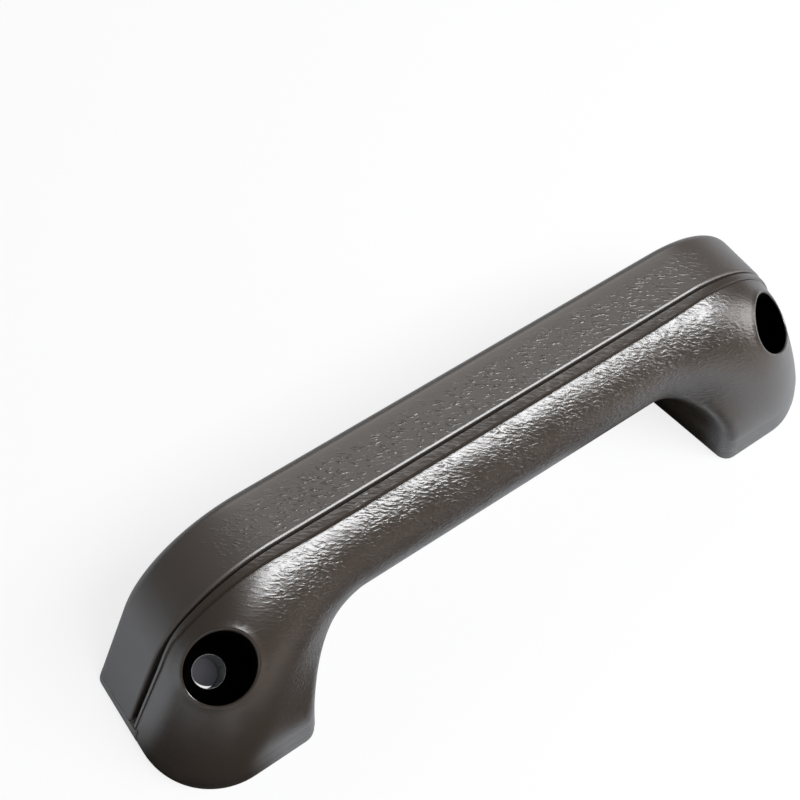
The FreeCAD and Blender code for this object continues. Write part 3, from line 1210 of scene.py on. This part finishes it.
@dataclass(frozen=True)
class GrainedPlastic:
    """Dark moulded plastic with leather grain."""

    name: str
    colour: tuple[float, float, float]
    deep: tuple[float, float, float]
    roughness: float
    grain: Grain
    recess: ScrewRecess | None = None
    rough_scale: float = 90.0
    rough_range: float = 0.08
    tone_scale: float = 22.0
    tone_ramp: tuple[float, float] = (0.3, 0.7)
    fine_scale: float = 2300.0
    fine_rough: float = 0.6
    fine_depth: float = 0.00002
    specular: float = 1.0
    index: float = 1.6
    # Painted shade: colour, added roughness and edge of the near black, metallic finish inside the screw
    # recess.
    painted_recess_shade: tuple[float, float, float] = (0.0015, 0.0012, 0.001)
    painted_recess_shade_roughness: float = 0.5
    painted_recess_shade_margins: tuple[float, float] = (0.00001, 0.00006)

    def build(self) -> bpy.types.Material:
        """Make the material, with painted shade inside the screw recess.

        Returns:
            The material.
        """
        kit = ShaderKit(self.name)
        place = kit.coordinates()
        fine = kit.noise(place, self.fine_scale, 2.0, self.fine_rough) * self.fine_depth
        tone = kit.noise(place, self.tone_scale).ramp(*self.tone_ramp)
        colour = kit.mix(tone, self.deep, self.colour)
        least = self.roughness - 0.5 * self.rough_range
        rough = kit.noise(place, self.rough_scale) * self.rough_range + least
        if self.recess is not None:
            distance, _ = kit.around(place, self.recess)
            start, end = (self.recess.radius * MM + margin for margin in self.painted_recess_shade_margins)
            # Painted shade: the recess's walls and floor go near black, rougher and metallic, as if deep
            # in shade.
            inside = 1.0 - distance.ramp(start, end)
            colour = kit.mix(inside, colour, self.painted_recess_shade)
            rough = rough + inside * self.painted_recess_shade_roughness
            kit.feed(kit.surface.inputs["Metallic"], inside)
        return kit.finish({
            "Base Color": colour,
            "Roughness": rough,
            "IOR": self.index,
            "Specular IOR Level": self.specular,
            "Normal": kit.bump(self.grain.height(kit, place) + fine, 1.0),
        })


@dataclass(frozen=True)
class SmoothPlastic:
    """Smooth half-gloss plastic of the foot inserts."""

    name: str
    colour: tuple[float, float, float]
    roughness: float
    recess: ScrewRecess
    lighter: float = 1.25
    tone_scale: float = 35.0
    rough_scale: float = 160.0
    rough_range: float = 0.12
    fine_scale: float = 900.0
    fine_depth: float = 0.00002
    # Painted shade: where the boss end deep in the screw recess is made near black, and its colour and
    # added roughness.
    boss_end_shade_distance: tuple[float, float] = (0.00455, 0.0047)
    boss_end_shade_height: tuple[float, float] = (0.0165, 0.017)
    boss_end_shade_colour: tuple[float, float, float] = (0.003, 0.003, 0.003)
    boss_end_shade_roughness: float = 0.6

    def build(self) -> bpy.types.Material:
        """Make the material, with painted shade where the screw's boss ends in the recess.

        Returns:
            The material.
        """
        kit = ShaderKit(self.name)
        place = kit.coordinates()
        distance, height = kit.around(place, self.recess)
        # Painted shade: the boss end in the recess goes near black, rougher and metallic.
        ring = distance.ramp(*self.boss_end_shade_distance) * height.ramp(*self.boss_end_shade_height)
        light = tuple(self.lighter * c for c in self.colour)
        colour = kit.mix(kit.noise(place, self.tone_scale), self.colour, light)
        rough = kit.noise(place, self.rough_scale) * self.rough_range + self.roughness
        return kit.finish({
            "Base Color": kit.mix(ring, colour, self.boss_end_shade_colour),
            "Roughness": rough + ring * self.boss_end_shade_roughness,
            "Metallic": ring,
            "Normal": kit.bump(kit.noise(place, self.fine_scale), self.fine_depth),
        })


class Backdrop(Enum):
    """Strengths of the plain white that the camera sees."""

    FLOOR = 0.98
    WORLD = 1.0


@dataclass(frozen=True)
class Softbox:
    """One soft lamp that points at the handle, its long side along it."""

    name: str
    direction: tuple[float, float, float]
    size: tuple[float, float]
    radiance: float
    colour: tuple[float, float, float]
    distance: float = 1.0
    aim_height: float = 0.03

    def build(self) -> None:
        """Hang the lamp."""
        data = bpy.data.lights.new(self.name, "AREA")
        data.shape = "RECTANGLE"
        data.size, data.size_y = self.size
        data.energy = self.radiance * math.pi * self.size[0] * self.size[1]
        data.color = self.colour
        lamp = bpy.data.objects.new(self.name, data)
        bpy.context.scene.collection.objects.link(lamp)
        back = Vector(self.direction).normalized()
        side = Vector((1.0, 0.0, 0.0))
        side = (side - back * side.dot(back)).normalized()
        turn = Matrix((side, back.cross(side), back)).transposed().to_4x4()
        place = back * self.distance + Vector((0.0, 0.0, self.aim_height))
        lamp.matrix_world = Matrix.Translation(place) @ turn


@dataclass
class Studio:
    """Plain pale floor, even room light and soft lamps.

    The painted floor shade patches are darker areas of the floor as (x stops, y stops):
    painted shade that only the handle's gloss and bounce light show, never the camera. The
    paper is also darker and warmer far in front of the handle. The painted hole shadow is a
    near black disc on the white floor under each screw hole, set a little off the hole so
    that a sliver of white floor shows at one edge as a painted glint.
    """

    lamps: Sequence[Softbox]
    floor_size: float = 6.0
    floor_drop: float = 0.0002
    room_colour: tuple[float, float, float] = (1.0, 0.94, 0.9)
    room_strength: float = 0.12
    paper: tuple[float, float, float] = (0.56, 0.585, 0.615)
    # Darker, warmer paper far in front of the handle, seen only in its reflections and bounce light.
    far_paper: tuple[float, float, float] = (0.34, 0.28, 0.24)
    far_y: tuple[float, float] = (-0.17, -0.09)
    seen_paper: tuple[float, float, float] = (0.75, 0.75, 0.75)
    paper_roughness: float = 0.9
    # Painted shade: colour and places of the darker floor patches.
    painted_floor_shade: tuple[float, float, float] = (0.03, 0.025, 0.02)
    painted_floor_shade_patches: tuple[tuple[tuple[float, ...], tuple[float, ...]], ...] = (
        ((-0.13, -0.12, 0.05, 0.1), (-0.14, -0.08, -0.042, -0.032)),
        ((-0.19, -0.165, -0.1, -0.085), (-0.1, -0.065, -0.008, 0.006)),
        ((0.03, 0.045, 0.075, 0.085), (-0.03, -0.015, 0.03, 0.04)),
    )
    shadow_share: float = 0.18
    shadow_reach: tuple[float, float] = (0.2, 0.6)
    # Painted shadow under each screw hole: its colour, its place a little off the hole, and its soft edge.
    painted_hole_shadow: tuple[float, float, float] = (0.03, 0.03, 0.037)
    hole_place: tuple[float, float] = (0.0929, 0.0053)
    hole_run: tuple[float, float] = (0.0051, 0.0053)

    def paint(self) -> bpy.types.Material:
        """Make the floor's material: white to the camera with a soft shadow, clear from below.

        It carries a painted shadow under each screw hole and patches of painted shade that only
        the handle's gloss and bounce light show.

        Returns:
            The material.
        """
        kit = ShaderKit("floor_paint")
        place = kit.coordinates()
        x, y = kit.axis(place, "X"), kit.axis(place, "Y")
        seen = kit.node("ShaderNodeLightPath", {}, {}, "Is Camera Ray")
        # Painted shade: patches of darker floor that only the handle's gloss and bounce light show.
        unshaded_share = 1.0
        for x_stops, y_stops in self.painted_floor_shade_patches:
            unshaded_share = (1.0 - x.window(x_stops) * y.window(y_stops)) * unshaded_share
        paper = kit.mix(y.ramp(*self.far_y), self.far_paper, self.paper)
        base = kit.mix(seen, kit.mix(unshaded_share, self.painted_floor_shade, paper), self.seen_paper)
        kit.finish({"Base Color": base, "Roughness": self.paper_roughness})
        # Painted shadow: a near black disc on the white floor under each screw hole; the sliver of white
        # floor left at one edge is a painted glint.
        out, over = x.absolute() - self.hole_place[0], y - self.hole_place[1]
        hole_shadow_mask = 1.0 - out.length_with(over).ramp(*self.hole_run)
        white = kit.mix(hole_shadow_mask, (1.0, 1.0, 1.0), self.painted_hole_shadow)
        glow = kit.node("ShaderNodeEmission", {}, {"Color": white, "Strength": Backdrop.FLOOR.value})
        near = 1.0 - x.length_with(y).ramp(*self.shadow_reach)
        above = kit.between(seen * (1.0 - near * self.shadow_share), kit.solid, glow)
        below = kit.node("ShaderNodeNewGeometry", {}, {}, "Backfacing")
        clear = kit.node("ShaderNodeBsdfTransparent", {}, {})
        kit.feed(kit.output.inputs["Surface"], kit.between(below, above, clear))
        return kit.material

    def floor(self) -> None:
        """Lay the floor."""
        mesh = bmesh.new()
        bmesh.ops.create_grid(mesh, x_segments=1, y_segments=1, size=0.5 * self.floor_size)
        bmesh.ops.translate(mesh, vec=(0.0, 0.0, -self.floor_drop), verts=mesh.verts)
        data = bpy.data.meshes.new("floor")
        mesh.to_mesh(data)
        mesh.free()
        floor = bpy.data.objects.new("floor", data)
        bpy.context.scene.collection.objects.link(floor)
        data.materials.append(self.paint())

    def room(self) -> None:
        """Set the even light of the room, white where the camera sees it."""
        world = bpy.data.worlds.new("room")
        bpy.context.scene.world = world
        world.use_nodes = True
        kit = NodeKit(world.node_tree)
        seen = kit.node("ShaderNodeLightPath", {}, {}, "Is Camera Ray")
        dim = {"Color": (*self.room_colour, 1.0), "Strength": self.room_strength}
        white = {"Color": (1.0, 1.0, 1.0, 1.0), "Strength": Backdrop.WORLD.value}
        room, paper = (kit.node("ShaderNodeBackground", {}, light) for light in (dim, white))
        kit.add("ShaderNodeOutputWorld", {}, {"Surface": kit.between(seen, room, paper)})

    def build(self) -> None:
        """Set up the floor, the room and the lamps."""
        self.floor()
        self.room()
        for lamp in self.lamps:
            lamp.build()


@dataclass(frozen=True)
class PhotoCamera:
    """Camera at the photograph's viewing angle."""

    place: tuple[float, float, float] = (-139.62, -79.89, 374.94)
    right: tuple[float, float, float] = (0.81434, -0.56858, 0.11651)
    down: tuple[float, float, float] = (-0.47305, -0.76653, -0.43435)
    ahead: tuple[float, float, float] = (0.33627, 0.29859, -0.89318)
    focal_pixels: float = 1334.5
    frame_pixels: float = 800.0
    sensor: float = 36.0
    clip_start: float = 0.01

    def build(self) -> None:
        """Create the camera and make it the scene's own."""
        data = bpy.data.cameras.new("photo_camera")
        data.sensor_width = self.sensor
        data.lens = self.sensor * self.focal_pixels / self.frame_pixels
        data.clip_start = self.clip_start
        camera = bpy.data.objects.new("photo_camera", data)
        bpy.context.scene.collection.objects.link(camera)
        columns = Matrix((self.right, tuple(-d for d in self.down), tuple(-d for d in self.ahead)))
        camera.matrix_world = Matrix.Translation(Vector(self.place) * MM) @ columns.transposed().to_4x4()
        bpy.context.scene.camera = camera


def recess_of(record: dict, side: str) -> ScrewRecess:
    """Screw recess of one foot, from the record's mount.

    Args:
        record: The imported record.
        side: "left" or "right".

    Returns:
        The recess.
    """
    mount = next(m for m in record["mounts"] if m["name"] == side + "_recess")
    axis = Vector(mount["axis"]).normalized()
    place = Vector(mount["pos_m"]) / MM
    foot_point = place - axis * (place.z / axis.z)
    return ScrewRecess(axis, foot_point, radius=mount["dims"]["r_mm"])


def dress(thing: bpy.types.Object, material: bpy.types.Material) -> None:
    """Give an object one material."""
    thing.data.materials.clear()
    thing.data.materials.append(material)


def main() -> None:
    """Build the handle's looks, its stage and its camera."""
    logging.basicConfig(level=logging.INFO, format="%(message)s")
    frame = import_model()
    bpy.context.scene.view_settings.view_transform = "Standard"

    form = HandleForm()
    cover = OuterCover(form)
    recesses = [recess_of(frame["record"], side) for side in ("left", "right")]
    body = GripBody(form, cover, recesses)

    skin = GrainedPlastic(
        "grip_skin", colour=(0.03, 0.022, 0.016), deep=(0.025, 0.0185, 0.0135), roughness=0.32,
        grain=Grain(), recess=recesses[1],
    )
    flecks = Grain(
        Relief.FLECKS, along_share=0.28, depth=0.0002, patch_scale=110.0, patch_detail=1.0,
        patch_ramp=(0.2, 0.5), patch_floor=0.3, band_y=(0.0105, 0.012, 0.02, 0.0245), left_over=0.0,
    )
    band = GrainedPlastic(
        "cover_plastic", colour=(0.044, 0.036, 0.03), deep=(0.038, 0.031, 0.026), roughness=0.4,
        grain=flecks,
    )
    insert = SmoothPlastic(
        "insert_plastic", colour=(0.03, 0.034, 0.042), roughness=0.25, recess=recesses[1],
    )

    cover_piece = cover.build()
    dress(cover_piece, band.build())
    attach(cover_piece, "root")
    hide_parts("outer_cover")
    LOG.info("outer cover: %d faces", len(cover_piece.data.polygons))

    body_piece = body.build()
    dress(body_piece, skin.build())
    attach(body_piece, "root")
    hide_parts("grip_body")
    LOG.info("grip body: %d faces", len(body_piece.data.polygons))

    insert_material = insert.build()
    for name in ("left_foot_insert", "right_foot_insert"):
        dress(frame["nodes"][name], insert_material)
        LOG.info("%s: smooth plastic", name)

    Studio([
        Softbox(
            "key", direction=(0.28, -0.4, 0.87), size=(0.98, 0.42), radiance=12.5,
            colour=(0.97, 0.98, 1.0),
        ),
        Softbox(
            "right", direction=(0.85, -0.49, 0.2), size=(0.45, 0.45), radiance=3.6,
            colour=(1.0, 0.98, 0.97),
        ),
        Softbox(
            "back", direction=(0.3, 0.72, 0.62), size=(1.0, 0.5), radiance=1.7,
            colour=(1.0, 0.99, 0.97),
        ),
    ]).build()
    PhotoCamera().build()


if __name__ == "__main__":
    main()
